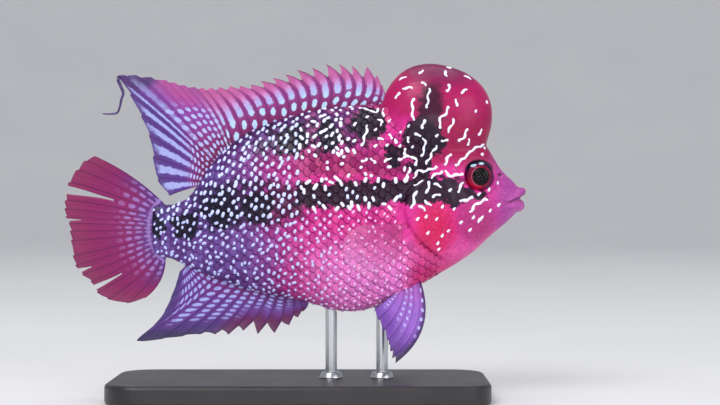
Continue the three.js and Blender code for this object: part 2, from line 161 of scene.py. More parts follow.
def lipShape(lip):
    def path(t):
        a = math.pi * (t - 0.5)
        ahead, up = lip["forward"] * math.cos(a), lip["rise"] * math.cos(a)
        return Vector((lip["x"] + ahead, lip["across"] * math.sin(a), lip["z"] + up))

    return tubeShape(path, lambda t: lerp(0.8, lip["thick"], math.sin(math.pi * t)))


# Where the gill cover ends behind, as height to length, and its front ridge
gillEdge = curveThrough([
    (34.6, 37.4), (37.6, 33.4), (41.2, 29.6), (45.2, 27.3), (49, 26.6), (53, 28.6), (56.2, 32),
])
gillRidge = curveThrough([(34.6, 39), (40, 40.6), (46, 40.2), (52, 39.3), (56.2, 37.5)])
relief = dict(
    gillStep=0.5, gillSlit=0.55, ridge=0.22, socket=1.5, rim=0.28, groove=0.2, lobe=0.75,
    pelvis=0.45, nostril=0.75,
    nostrilRim=0.2, jaw=0.2, mouth=0.55, cheek=0.35, grain=0.05,
)
nostril = dict(x=51, z=56.9)


def hill(away, width):
    return math.exp(-(away / width) ** 2)


def pressedDepth(x, y, z):
    # how far the skin stands out (plus) or is pressed in (minus) at a place on the flank
    out = 0
    if abs(y) > 2 and 33 < z < 58 and x > 24:
        edge = x - gillEdge(z)
        ends = smoothstep(34.2, 37.5, z) * (1 - smoothstep(54.5, 57.5, z))
        out += ends * relief["gillStep"] * smoothstep(-0.15, 0.35, edge) * (1 - smoothstep(2.5, 9, edge))
        out -= ends * relief["gillSlit"] * smoothstep(-1.5, -0.5, edge) * (1 - smoothstep(-0.3, 0.15, edge))
        ridge = x - gillRidge(z)
        out -= ends * relief["ridge"] * (hill(ridge, 0.55) - 0.8 * hill(ridge - 1.3, 0.9))
    if abs(y) > 2:
        away = math.hypot(x - eye["x"], z - eye["z"]) - eye["radius"]
        out -= relief["socket"] * (1 - smoothstep(-0.25, 0.12, away))
        out += relief["rim"] * hill(away - 0.55, 0.45) - relief["groove"] * hill(away - 1.9, 0.7)
        out += relief["lobe"] * math.exp(-1.3 * (((x - 28.6) / 2.1) ** 2 + ((z - 40.9) / 3.9) ** 2))
        out += relief["pelvis"] * hill(x - 27.5, 4) * hill(z - 27.6, 1.8) * (abs(y) < 6)
        pit = math.hypot(x - nostril["x"], z - nostril["z"])
        out += relief["nostrilRim"] * hill(pit - 0.95, 0.32) - relief["nostril"] * hill(pit, 0.5)
        jaw = (z - 46.2) - 0.75 * (x - 50.4)
        out -= relief["jaw"] * hill(jaw, 0.4) * smoothstep(45.5, 48, x) * (1 - smoothstep(51, 53, x))
        out += relief["cheek"] * hill(x - 44.5, 3.2) * hill(z - 46.6, 4.2)
    if x > 51.8:
        mouth = z - (49.4 + 0.36 * (x - 52.8))
        out -= relief["mouth"] * hill(mouth, 0.32) * smoothstep(51.8, 52.9, x)
    return out + relief["grain"] * noise.noise(Vector((x, y, z)) * 0.35)


def newObject(name, bm):
    bmesh.ops.recalc_face_normals(bm, faces=bm.faces)
    mesh = bpy.data.meshes.new(name)
    bm.to_mesh(mesh)
    bm.free()
    piece = bpy.data.objects.new(name, mesh)
    bpy.context.scene.collection.objects.link(piece)
    return piece


def sideName(name, side):
    return name + ("_left" if side > 0 else "_right")


def finishPiece(piece, slotName, material, nodes=()):
    # the tail's sweep and the change to metres, then the frame's own marks
    mesh = piece.data
    for vert in mesh.vertices:
        vert.co.y += tailBend * min(vert.co.x, 0) ** 2
        vert.co *= millimetre
    mesh.polygons.foreach_set("use_smooth", [True] * len(mesh.polygons))
    mesh.materials.append(material)
    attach(piece, "root")
    if nodes:
        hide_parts(*nodes)
    print(piece.name, len(mesh.polygons), "faces")
    return piece


skinSettings = dict(voxel=0.38, smoothing=7, under=0.16)


def soften(piece, factor, times):
    smooth = piece.modifiers.new("soften", "SMOOTH")
    smooth.factor = factor
    smooth.iterations = times
    bpy.context.view_layer.objects.active = piece
    for modifier in list(piece.modifiers):
        bpy.ops.object.modifier_apply(modifier=modifier.name)


def makeSkin():
    bm = bmesh.new()
    moldBall(bm, body["sides"], body["stations"], bodyShape)
    moldBall(bm, 56, 40, humpShape)
    for lip in lips:
        moldBall(bm, 16, 30, lipShape(lip))
    piece = newObject("skin", bm)
    remesh = piece.modifiers.new("fuse", "REMESH")
    remesh.mode = "VOXEL"
    remesh.voxel_size = skinSettings["voxel"]
    soften(piece, 0.5, skinSettings["smoothing"])
    verts = piece.data.vertices
    moved = [v.co + v.normal * (pressedDepth(*v.co) - skinSettings["under"]) for v in verts]
    for vert, place in zip(verts, moved):
        vert.co = place
    soften(piece, 0.4, 1)
    return piece


# Scales and pearls lie on the skin, found by rays and nearest points
class Surface:
    def __init__(self, piece):
        bm = bmesh.new()
        bm.from_mesh(piece.data)
        self.tree = BVHTree.FromBMesh(bm)
        bm.free()

    def nearest(self, point):
        return self.tree.find_nearest(point)[:2]

    def across(self, x, z, side):
        # the flank at a length and height, seen from one side
        return self.tree.ray_cast(Vector((x, 40 * side, z)), Vector((0, -side, 0)))[0]


def arcTable(x, steps=40):
    # angle for each length of arc up the flank from its middle, and down from it
    tables = []
    for turn in (1, -1):
        table = [(0, 0)]
        before, length = flankPoint(x, 0), 0
        for i in range(1, steps + 1):
            angle = turn * i * math.pi / (2 * steps)
            point = flankPoint(x, angle)
            length += (point - before).length
            before = point
            table.append((length, angle))
        tables.append(table)
    return tables


def angleAt(tables, reach):
    table, goal = tables[0 if reach >= 0 else 1], abs(reach)
    for (a, angleA), (b, angleB) in zip(table, table[1:]):
        if b >= goal:
            return lerp(angleA, angleB, (goal - a) / max(b - a, 1e-6))


scaleRows = dict(pitch=2.9, spacing=1.29, front=38, rear=-36.6, rows=24, tailSize=0.72, reach=1.3)


def scalePlaces(surface):
    # seats of the scales, in staggered rows that narrow with the body towards the tail
    rng = random.Random(7)
    seats = []
    columns = int((scaleRows["front"] - scaleRows["rear"]) / scaleRows["pitch"] * 2)
    places = [scaleRows["rear"] + column * scaleRows["pitch"] / 2 for column in range(columns)]
    tables = [arcTable(x) for x in places]
    for side in (-1, 1):
        for row in range(-scaleRows["rows"], scaleRows["rows"] + 1):
            for column in range(row % 2, columns, 2):
                x = places[column]
                size = lerp(scaleRows["tailSize"], 1, smoothstep(-36, -12, x))
                angle = angleAt(tables[column], row * scaleRows["spacing"] * size)
                if angle is None:
                    continue
                point = flankPoint(x, angle)
                point.y *= side
                place, normal = surface.nearest(point)
                if inFrontOfScales(point.x, point.z) or (place - point).length > scaleRows["reach"]:
                    continue
                seats.append(dict(place=place, normal=normal, side=side, size=size, tone=rng.random()))
    return seats


def inFrontOfScales(x, z):
    if x < 24:
        return False
    if z > 56:
        return x > 33 + 0.25 * (z - 56)
    return x > (gillEdge(z) - 1.6 if z > 34.6 else 37.5)


def flow(normal):
    # the way a scale points along the skin, towards the tail, and the way across it
    back = Vector((-1, 0, 0))
    back = (back - normal * back.dot(normal)).normalized()
    return back, normal.cross(back)


def patchOf(place):
    # seat of a small piece on an unwrap of the skin: length by angle round the body, the dome apart
    x = min(max((place.x + 40) / 100, 0), 1)
    inside = min(max(place.x, -37), 55)
    top, low = backLine(inside), bellyLine(inside)
    if place.z > top + 0.6:
        turn = math.atan2(place.z - 70, abs(place.y) + 0.1) / math.pi * math.copysign(1, place.y)
        return Vector((x, 0.9 + 0.08 * turn))
    turn = math.atan2(place.z - (top + low) / 2, place.y) / (2 * math.pi)
    return Vector((x * 0.98 + 0.01, 0.01 + (turn + 0.5) * 0.78))


coatPatch = 0.0015  # half width of a drop's patch on the unwrap


class Coat:
    # many small closed plates or pearls joined in one mesh, each with its tone and its patch of the skin
    def __init__(self, name, sides, rings):
        self.name, self.sides, self.rings = name, sides, rings
        self.drops = []

    def done(self, material):
        bm = bmesh.new()
        bmesh.ops.create_uvsphere(bm, u_segments=self.sides, v_segments=self.rings, radius=1)
        unwrap = bm.loops.layers.uv.new("OFBake")
        toneOf = bm.verts.layers.float.new("tone")
        balls = [list(bm.verts)]
        spots = [v.co.copy() for v in balls[0]]
        while len(balls) < len(self.drops):
            # double what is there until there is one ball for each drop
            some = balls[:len(self.drops) - len(balls)]
            verts = [v for ball in some for v in ball]
            edges = {e: None for v in verts for e in v.link_edges}
            faces = {f: None for v in verts for f in v.link_faces}
            twin = bmesh.ops.duplicate(bm, geom=verts + list(edges) + list(faces))["vert_map"]
            balls += [[twin[v] for v in ball] for ball in some]
        for (place, tone, shape), ball in zip(self.drops, balls):
            seat = patchOf(place)
            for vert, spot in zip(ball, spots):
                vert[toneOf] = tone
                vert.co = shape(spot)
                for loop in vert.link_loops:
                    loop[unwrap].uv = seat + spot.xy * coatPatch
        finishPiece(newObject(self.name, bm), "skin", material)


scaleShape = dict(length=1.62, height=1.4, thick=0.05, sunk=-0.12, proud=0.12, calm=0.45)


def makeScales(surface, seats, material):
    coat = Coat("scales", 12, 4)
    for seat in seats:
        place, size = seat["place"], seat["size"]
        back, up = flow(seat["normal"])
        calm = smoothstep(-2, 10, place.x) * smoothstep(50, 43, place.z)
        proud = scaleShape["proud"] * (1 - scaleShape["calm"] * calm)

        def shape(spot, place=place, size=size, back=back, up=up, proud=proud):
            along, aside = spot.x * scaleShape["length"] * size, spot.y * scaleShape["height"] * size
            on, out = surface.nearest(place + back * along + up * aside)
            lift = lerp(scaleShape["sunk"], proud, smoothstep(-1, 0.75, spot.x))
            return on + out * (lift * size + spot.z * scaleShape["thick"])

        coat.drops.append((place, seat["tone"], shape))
    coat.done(material)


pearlHeight = 0.24


def layStroke(coat, surface, points, width, tone, seat=0, swell=0):
    # a rounded raised stroke of pigment along points of the skin
    normals = []
    for i, point in enumerate(points):
        on, out = surface.nearest(point)
        points[i] = on + out * seat
        normals.append(out)
    lengths = [0]
    for a, b in zip(points, points[1:]):
        lengths.append(lengths[-1] + (b - a).length)
    total, half = lengths[-1], width / 2

    def line(s):
        if s <= 0:
            start = (points[1] - points[0]).normalized()
            return points[0] + start * s, start, normals[0]
        i = min(sum(s > length for length in lengths) - 1, len(points) - 2)
        a, b = points[i], points[i + 1]
        t = (s - lengths[i]) / (lengths[i + 1] - lengths[i])
        return a.lerp(b, t), (b - a).normalized(), normals[i].lerp(normals[i + 1], min(max(t, 0), 1))

    def shape(spot):
        s = total / 2 + spot.z * (total / 2 + half)
        over = max(-s, s - total, 0)
        reach = math.sqrt(max(half * half - over * over, 0)) * (1 + swell * math.sin(2.9 * s + 7 * total))
        ring = math.hypot(spot.x, spot.y) or 1
        place, along, out = line(s)
        side = out.cross(along).normalized()
        return place + side * (reach * spot.x / ring) + out * (pearlHeight * reach / half * spot.y / ring)

    coat.drops.append((points[len(points) // 2], tone, shape))


# Pearls: one on most scales, and listed strokes on the head, dome and nape, as [length, height] in mm
domeStrokes = [
    [(25.5, 81), (27, 81.6)], [(30.6, 82.5), (31.3, 83.2)], [(26.3, 78.7), (28.4, 78.7)],
    [(31.1, 80.1), (31.9, 79.4)], [(36.8, 83.1), (37.2, 81.9)], [(37.6, 84.2), (38.4, 84)],
    [(42, 82), (43.4, 81.2)], [(24.5, 76.3), (25.3, 77.4)], [(37.7, 79.4), (38.1, 78.6), (37.3, 77.9)],
    [(40.9, 77.6), (42.2, 78.3)], [(32.8, 78.4), (32.5, 76.1), (32.1, 73.7)],
    [(28.7, 75.8), (28.5, 73.2), (28.9, 70.7)], [(39.6, 75.6), (39.8, 74.2)], [(44.6, 72.9)], [(47.6, 75.3)],
    [(37.6, 73.7), (37, 72.3), (35.3, 70.6), (35.5, 68.6)], [(39, 70.6), (38.2, 69), (37.6, 67.5)],
    [(31.4, 70.4), (31, 68.6)], [(42.3, 68.2), (41.7, 66.5), (40.3, 65.4)], [(46.2, 68.1), (45.4, 67)],
    [(42.8, 65.7), (42.6, 64.4)], [(34.7, 66.6)], [(36, 65.4), (37.3, 65.5)], [(27.6, 69.1)],
    [(27.3, 66.1), (27.5, 65)], [(28.6, 63.8)], [(31.4, 65.9), (31.7, 64), (30.8, 61.5)],
    [(29.3, 66.9), (30.4, 66.6)], [(25.7, 67.6)],
]
headStrokes = [
    [(34.6, 64), (33.3, 61.9), (32, 59.4)], [(37.9, 61.9), (36.8, 59.4)],
    [(46.8, 64.4), (44.3, 63.5), (41.7, 61.1), (39.5, 59.2)], [(47, 63.7)], [(46.4, 62)],
    [(28.8, 56), (29.9, 57.7), (32, 57.7), (34.5, 58.7)], [(33.2, 56.2), (35.9, 57.5)],
    [(36.8, 57.5), (37.9, 56.5), (41, 56.9)], [(29, 54), (30.9, 55.2)], [(32.8, 54.8), (31.9, 52.3)],
    [(34, 54.4), (35.5, 53.7)], [(38, 52.9)], [(41.2, 54.6), (40.3, 53.5), (40.1, 52.5)],
    [(33.6, 51.3), (35.3, 51.7)], [(29.2, 52.5), (28.8, 50.2), (28.2, 48.6)], [(31.7, 50.2), (33, 49.2)],
    [(30.3, 49), (31.5, 47.9)], [(40.7, 50), (43.5, 51.1)], [(47.3, 50.6), (44.6, 49.4), (43.1, 47.5)],
    [(36, 48.8)], [(39, 48.2)], [(29.8, 45.7)], [(31.9, 46.3)], [(34.6, 45.7)], [(40.8, 44.8)],
    [(43.9, 46.1)], [(48.2, 47.8)], [(50.5, 49.2)], [(32.4, 42.2)], [(36, 41.5)], [(37.6, 42.7)],
    [(43.1, 42.9)], [(34.9, 39.6)], [(35.2, 38.1)], [(45.3, 51.9)], [(47.9, 53.1)], [(50.2, 54.8)],
    [(46.1, 46.3), (45.2, 45)],
]
napeStrokes = [
    [(27.8, 58.5), (27.2, 56), (26.6, 54.8)], [(26.5, 63.1), (26.6, 61.9)], [(25.4, 64)],
    [(22.9, 66.9), (23.3, 65.9)], [(24.1, 65.5), (24.5, 64.8)],
    [(25.1, 60.6), (27.9, 61.4), (29.3, 60.6), (29.3, 59.2)], [(20.1, 66), (21.1, 65.7)], [(19.3, 64)],
    [(22.2, 64.2)], [(18.3, 60.8), (19.1, 59.8)], [(21.6, 60), (23.1, 60.8)], [(16, 60), (17, 60.6)],
    [(17.3, 69.1), (16.6, 66.5), (15.8, 64.2)], [(20, 70.8), (20.8, 70.3), (20.6, 69.3)], [(22.9, 70.4)],
    [(19.3, 68.2)], [(15.4, 73.9), (17.9, 73.2), (19.2, 72.5), (20, 73.7)], [(17.3, 71.5)],
    [(21.3, 73.4), (21.4, 71.7)],
]
strokeShape = dict(wave=0.3, turns=2.3, swell=0.24, steps=4, dot=Vector((0.12, 0, 0.16)))


def winding(points, number):
    # a bent path through the points with a small wave to each side
    fine, run = [], 0
    last, steps = len(points) - 1, strokeShape["steps"]
    for i in range(last):
        before, a, b, after = points[max(i - 1, 0)], points[i], points[i + 1], points[min(i + 2, last)]
        length = (b - a).length
        aside = (b - a).cross(Vector((0, 1, 0))).normalized() * (strokeShape["wave"] * min(length / 2, 1))
        for t in (step / steps for step in range(steps)):
            bend = (b - before) * t + (before * 2 - a * 5 + b * 4 - after) * t ** 2
            bend += (a * 3 - before - b * 3 + after) * t ** 3
            wave = math.sin(strokeShape["turns"] * (run + t * length) + number * 1.9)
            fine.append(a + bend / 2 + aside * wave)
        run += length
    return fine + [points[-1]]


def layHandStrokes(coat, surface):
    for width, strokes in ((0.7, domeStrokes), (0.76, headStrokes), (0.78, napeStrokes)):
        for number, stroke in enumerate(strokes):
            for side in (-1, 1):
                points = [hit for hit in (surface.across(x, z, side) for x, z in stroke) if hit]
                if len(points) == 1:
                    points = [points[0] - strokeShape["dot"], points[0] + strokeShape["dot"]]
                if points:
                    wide = width * lerp(0.85, 1.1, (number * 37 % 10) / 10)
                    layStroke(coat, surface, winding(points, number), wide, 0.05, swell=strokeShape["swell"])


def bodyPearl(x, z, rng):
    # straight length, width, lean towards the head and tone of the pearl at a place, or None for none
    if x < 0:
        narrow = lerp(0.82, 1, smoothstep(-36, -20, x))
        if z > 46:
            return rng.uniform(0.15, 0.7), rng.uniform(0.78, 0.98) * narrow, rng.gauss(0.35, 0.25), 0.5
        length, width = rng.uniform(0.1, 0.6), rng.uniform(0.68, 0.86) * narrow
        return length, width, rng.gauss(0.4, 0.5), rng.uniform(0.55, 0.75)
    if 56 < z < 60.4 and x < 27:
        return (rng.uniform(0.1, 0.5), 0.8, rng.gauss(0.3, 0.9), 0.12) if rng.random() < 0.22 else None
    if z > 57.5:
        if rng.random() < 0.1:
            return None
        return rng.uniform(0.1, 1), rng.uniform(0.78, 0.98), rng.gauss(0.25, 0.7), 0.15
    if z > 48:
        if abs(z - lerp(48.8, 52.5, smoothstep(-14, 22, x))) >= 1.9:
            return rng.uniform(0.4, 1.3), rng.uniform(0.76, 0.94), rng.gauss(0, 0.7), 0.12
        if rng.random() < 0.62:
            return None
        return rng.uniform(0.1, 0.6), rng.uniform(0.7, 0.84), rng.gauss(0.1, 0.5), 0.3
    fade = smoothstep(2, 20, x)
    if rng.random() < fade * 0.12:
        return None
    width = lerp(0.76, 0.56, fade)
    return rng.uniform(0.05, 0.5), width * rng.uniform(0.85, 1.1), rng.gauss(0.25, 0.6), 0.8 + 0.2 * fade


def makePearls(surface, seats, material):
    rng = random.Random(21)
    coats = []
    for side in (-1, 1):
        coats.append(Coat(sideName("pearls", side), 8, 6))
        for seat in seats:
            place = seat["place"]
            onHead = place.x > 27.5 or place.x >= 15.5 and place.z > 59
            if seat["side"] != side or onHead or abs(place.y) < 0.5:
                continue
            found = bodyPearl(place.x, place.z, rng)
            if found is None:
                continue
            length, width, lean, tone = found
            back, up = flow(seat["normal"])
            if up.z < 0:
                up = -up
            along = (up * math.cos(lean) - back * math.sin(lean)).normalized() * length / 2
            wobble = back * rng.gauss(0, 0.42) + up * rng.gauss(0, 0.36)
            middle = place + back * 0.35 + wobble
            ends = [middle - along, middle, middle + along]
            layStroke(coats[-1], surface, ends, width * rng.uniform(0.9, 1.08), tone, scaleShape["proud"])
    coats.append(Coat("pearl_strokes", 6, 16))
    layHandStrokes(coats[-1], surface)
    for coat in coats:
        coat.done(material)


# Fins: fans of rays from root to tip on bent lines, as in the solids, with thin skin between
def tipThrough(keys):
    xs, zs = (curveThrough([(key[0], key[axis]) for key in keys]) for axis in (1, 2))
    return lambda u: Vector((xs(u), zs(u)))


def upright(size, turns, phase=0):
    # stands in the middle plane, with a wave to the side that grows towards the margin
    def place(flat, u, t):
        return Vector((flat.x, size * math.sin(u * turns + phase) * t * t, flat.y)), Vector((0, 1, 0))

    return place


finSkin = dict(membrane=0.2, ray=0.34, tip=0.12, perRay=8, edge=0.1)
dorsalFin = dict(
    name="dorsal_fin_skin", node="dorsal_fin", slot="fin", rays=30, spines=17, rows=46,
    root=lambda u: Vector((rootDorsal(u), backLine(rootDorsal(u)) - 1.4)),
    tip=tipThrough([
        (0, 21.2, 79.2), (1, 19.7, 82.4), (2, 17.1, 84.6), (3, 13.2, 85.1), (5, 6.6, 85.2),
        (7, -0.9, 83.7), (9, -7.3, 81.8), (11, -12.9, 80.1), (14, -20.4, 79.5), (17, -27.1, 79.5),
        (20, -34.6, 81.3), (22, -41.7, 82.6), (23, -46.6, 82.4), (24, -44.2, 78.2), (26, -38.9, 67),
        (28, -36.9, 56), (29, -33.6, 51.5),
    ]),
    bulge=curveThrough([
        (0, 1.6), (1, 3.4), (3, 6.2), (8, 7.2), (11, 6.2), (14, 4.2), (17, 2.6), (20, 1.9), (29, 0.4),
    ]),
    hook=curveThrough([(0, 0.56), (4, 0.61), (12, 0.6), (17, 0.5), (29, 0.5)]),
    notch=curveThrough([(0, 0.3), (6, 0.36), (10, 0.3), (14, 0.12), (17, 0.05), (29, 0.03)]),
    place=upright(0.35, 0.75),
)
analFin = dict(
    name="anal_fin_skin", node="anal_fin", slot="fin", rays=17, spines=7, rows=34,
    root=lambda u: Vector((2.2 - 1.93 * u, bellyLine(2.2 - 1.93 * u) + 1.3)),
    tip=tipThrough([
        (0, 0.6, 21.8), (1, -0.5, 20.4), (2, -2.8, 18.4), (3, -6.5, 16.4), (4, -10.8, 16.1),
        (5, -14.6, 16.9), (6, -18.4, 15.9), (8, -25.6, 16), (10, -35.7, 14.7), (11, -42, 14.2),
        (12, -37.4, 18.5), (13, -34.8, 22), (15, -31.9, 28.9), (16, -31, 32),
    ]),
    bulge=lambda u: -1.3 if u < 7 else lerp(-1.3, -0.2, (u - 7) / 9),
    notch=curveThrough([(0, 0.34), (5, 0.3), (8, 0.05), (16, 0.03)]),
    place=upright(0.3, 0.9, 1),
)
tailFin = dict(
    name="tail_fin_skin", node="tail_fin", slot="tail", rays=18, spines=0, rows=48,
    tears=[(3, 0.5), (6, 0.86), (9, 0.56), (11, 0.86), (13, 0.6)],
    root=lambda u: Vector((-36.9 + 2.4 * (2 * u / 17 - 1) ** 2, lerp(49.1, 35.9, u / 17))),
    tip=tipThrough([
        (0, -53, 61.8), (1, -55.6, 60.8), (2, -57.8, 58.5), (3, -60, 55.3), (4, -61, 50.6),
        (5, -61, 48.2), (6, -60.7, 46.1), (7, -59.8, 44.5), (9, -59.2, 39.9), (10, -58.7, 36),
        (11, -58.1, 33.5), (12, -56.4, 31.2), (13, -54.1, 29.3), (14, -52.5, 26.6), (15, -49.7, 24.9),
        (16, -44.6, 23.9), (17, -39.7, 25.3),
    ]),
    bulge=lambda u: 2.2 * (1 - u / 8) if u < 8 else -3 * ((u - 8) / 9) ** 1.6,
    notch=lambda u: 0.025,
    place=upright(0.5, 0.55),
)


def rootDorsal(u):
    return (20.9 - 2.44 * u if u <= 16 else -18.15 - 0.7 * (u - 16)) + 0.06 * u


def pectoralFin(side):
    back = Vector((-0.9, 0.4 * side, -0.2)).normalized()
    up = Vector((0.22, 0.1 * side, 1)).normalized()
    normal = back.cross(up).normalized()
    start = Vector((27.4, 9.1 * side, 41.6))

    def place(flat, u, t):
        return start + back * flat.x + up * flat.y + normal * (0.8 * side * t * (1 - t)), normal

    return dict(
        name=sideName("pectoral_fin_skin", side), node=sideName("pectoral_fin", side),
        slot="clear_fin", rays=10,
        spines=0, rows=30, place=place,
        root=lambda u: Vector((-1.2, 2.3 - 4.6 * (u / 9))),
        tip=tipThrough([
            (0, 15.5, 5.6), (2, 18.6, 3.6), (4, 18.4, -0.6), (6, 15.4, -5), (8, 10.6, -7.8), (9, 7.4, -8.1),
        ]),
        bulge=lambda u: lerp(-1, 0.8, u / 9),
        notch=lambda u: 0.03,
    )


def pelvicFin(side):
    lean = 0.34

    def place(flat, u, t):
        out = 3.6 + lean * (29 - flat.y) + 0.5 * math.sin(u * 1.4) * t * t
        return Vector((flat.x, side * out, flat.y)), Vector((0, 1, lean * side)).normalized()

    return dict(
        name=sideName("pelvic_fin_skin", side), node=sideName("pelvic_fin", side),
        slot="fin", rays=7, spines=1,
        rows=34, perRay=10, place=place,
        root=lambda u: Vector((30.6 - 0.95 * u, bellyLine(30.6 - 0.95 * u) + 1.6)),
        tip=tipThrough([
            (0, 24.2, 9.6), (1, 23.4, 10.8), (2, 22.9, 12.6), (3, 22.2, 15), (4, 21.2, 17.6),
            (5, 19.9, 20.3), (6, 18.8, 22.6),
        ]),
        bulge=curveThrough([(0, -8.2), (1, -6.4), (2, -4.8), (4, -2.2), (6, 0)]),
        notch=lambda u: 0.05,
    )


def finHalf(fin, u, t):
    # half thickness of a fin: a round ridge over each ray, which splits in two towards the margin
    soft = round(u) >= fin["spines"]
    fork = 0.13 * smoothstep(0.45, 0.9, t) if soft else 0
    ridge = hill(abs(u - round(u)) - fork, 0.13 if soft else 0.16)
    height = lerp(finSkin["ray"], finSkin["tip"], t ** 0.8) * (1 if soft else 1.25)
    joints = 0.88 + 0.12 * math.cos(t * 90) if soft else 1
    return lerp(finSkin["membrane"], finSkin["edge"], t) / 2 + height * ridge * joints * 0.6


def makeFin(fin, material):
    rays, tears = fin["rays"], fin.get("tears", ())
    perRay = fin.get("perRay", finSkin["perRay"])
    bm = bmesh.new()
    unwrap = bm.loops.layers.uv.new("fin")
    step = bm.verts.layers.float_vector.new("step")
    made = bmesh.ops.create_grid(bm, x_segments=(rays - 1) * perRay, y_segments=fin["rows"], size=1)
    spots = {v: ((v.co.x + 1) / 2 * (rays - 1), (v.co.y + 1) / 2) for v in made["verts"]}
    torn = []
    for face in bm.faces:
        for loop in face.loops:
            u, share = spots[loop.vert]
            loop[unwrap].uv = (u / (rays - 1), share)
        u, share = (sum(spots[v][i] for v in face.verts) / 4 for i in (0, 1))
        if any(abs(u - after - 0.5) < 0.5 / perRay and share > start for after, start in tears):
            torn.append(face)
    for vert, (u, share) in spots.items():
        t = share * (1 - fin["notch"](u) * (u - math.floor(u)) * share)
        bend = u
        for after, start in tears:
            away = u - after - 0.5
            if share > start and abs(away) < 0.5:
                bend = u + math.copysign(0.16 * smoothstep(start, 1, share) * (1 - abs(away) * 2), away)
        root, tip = fin["root"](bend), fin["tip"](bend)
        along = tip - root
        push = Vector((along.y, -along.x)).normalized() * fin["bulge"](bend)
        middle = root.lerp(tip, fin["hook"](bend) if "hook" in fin else 0.5) + push
        flat = root * (1 - t) ** 2 + middle * (2 * t * (1 - t)) + tip * t * t
        vert.co, normal = fin["place"](flat, bend, t)
        vert[step] = normal * finHalf(fin, u, t)
    bmesh.ops.delete(bm, geom=torn, context="FACES")
    front = list(bm.verts)
    raised = bmesh.ops.extrude_face_region(bm, geom=list(bm.faces), use_keep_orig=True)
    for vert in front:
        vert.co -= vert[step]
    for vert in raised["geom"]:
        if isinstance(vert, bmesh.types.BMVert):
            vert.co += vert[step]
    bm.verts.layers.float_vector.remove(step)
    finishPiece(newObject(fin["name"], bm), fin["slot"], material, [fin["node"]])


# Finishes: a socket wrapped so that sums and products on it add Math nodes
class Wire:
    def __init__(self, finish, socket):
        self.finish, self.socket = finish, socket

    def math(self, operation, first, second=0):
        return self.finish.node("ShaderNodeMath", {"operation": operation}, {0: first, 1: second})

    def __add__(self, other):
        return self.math("ADD", self, other)

    def __sub__(self, other):
        return self.math("SUBTRACT", self, other)

    def __rsub__(self, other):
        return self.math("SUBTRACT", other, self)

    def __mul__(self, other):
        return self.math("MULTIPLY", self, other)

    def __truediv__(self, other):
        return self.math("DIVIDE", self, other)

    def __rtruediv__(self, other):
        return self.math("DIVIDE", other, self)

    def __abs__(self):
        return self.math("ABSOLUTE", self)

    __radd__ = __add__
    __rmul__ = __mul__

    def greatest(self, other):
        return self.math("MAXIMUM", self, other)

    def wave(self):
        return self.math("SINE", self)

    def whole(self):
        return self.math("FLOOR", self)

    def part(self):
        return self.math("FRACT", self)

    def ease(self, low, high):
        # 0 at low to 1 at high, smoothly; the other way round where high is below low
        return self.finish.node("ShaderNodeMapRange", {"interpolation_type": "SMOOTHSTEP"},
                                {"Value": self, "From Min": low, "From Max": high})


def paint(code):
    # a colour written as on a web page, in the linear light of the shader
    parts = [int(code[i:i + 2], 16) / 255 for i in (1, 3, 5)]
    return tuple(p / 12.92 if p <= 0.04045 else ((p + 0.055) / 1.055) ** 2.4 for p in parts) + (1,)


class Finish:
    def __init__(self, name, **constants):
        self.material = bpy.data.materials.new(name)
        self.material.use_nodes = True
        self.tree = self.material.node_tree
        self.tree.nodes.clear()
        self.shader = self.tree.nodes.new("ShaderNodeBsdfPrincipled")
        output = self.tree.nodes.new("ShaderNodeOutputMaterial")
        self.tree.links.new(self.shader.outputs[0], output.inputs["Surface"])
        for socket, value in constants.items():
            self.feed(socket.replace("_", " "), value)

    def plug(self, socket, value):
        if isinstance(value, Wire):
            self.tree.links.new(value.socket, socket)
        else:
            socket.default_value = value

    def feed(self, socket, value):
        self.plug(self.shader.inputs[socket], value)

    def node(self, kind, settings, sockets, out=0):
        made = self.tree.nodes.new(kind)
        stops = settings.pop("stops", ())
        for key, value in settings.items():
            setattr(made, key, value)
        for i, (place, colour) in enumerate(stops):
            ramp = made.color_ramp.elements
            element = ramp[i] if i < 2 else ramp.new(place)
            element.position, element.color = place, colour
        for key, value in sockets.items():
            self.plug(made.inputs[key], value)
        return Wire(self, made.outputs[out])

    def over(self, colour, *layers):
        # paints laid over a colour one after the other, each by its share
        for share, upper in layers:
            upper = paint(upper) if isinstance(upper, str) else upper
            colour = self.node("ShaderNodeMix", {"data_type": "RGBA"}, {0: share, 6: colour, 7: upper}, 2)
        return colour

    def here(self):
        # the place on the object, and its length, width and height, in mm
        place = self.node("ShaderNodeTexCoord", {}, {}, "Object")
        large = self.node("ShaderNodeVectorMath", {"operation": "SCALE"}, {0: place, "Scale": 1000})
        return large, [self.node("ShaderNodeSeparateXYZ", {}, {0: large}, axis) for axis in "XYZ"]

    def away(self, across, up):
        flat = self.node("ShaderNodeCombineXYZ", {}, {0: across, 1: up})
        return self.node("ShaderNodeVectorMath", {"operation": "LENGTH"}, {0: flat}, "Value")

    def noise(self, place, scale, detail=2, rough=0.5):
        sockets = {"Vector": place, "Scale": scale, "Detail": detail, "Roughness": rough}
        return self.node("ShaderNodeTexNoise", {}, sockets, "Fac")

    def bump(self, height, distance, strength):
        sockets = {"Height": height, "Distance": distance, "Strength": strength}
        self.feed("Normal", self.node("ShaderNodeBump", {}, sockets, "Normal"))


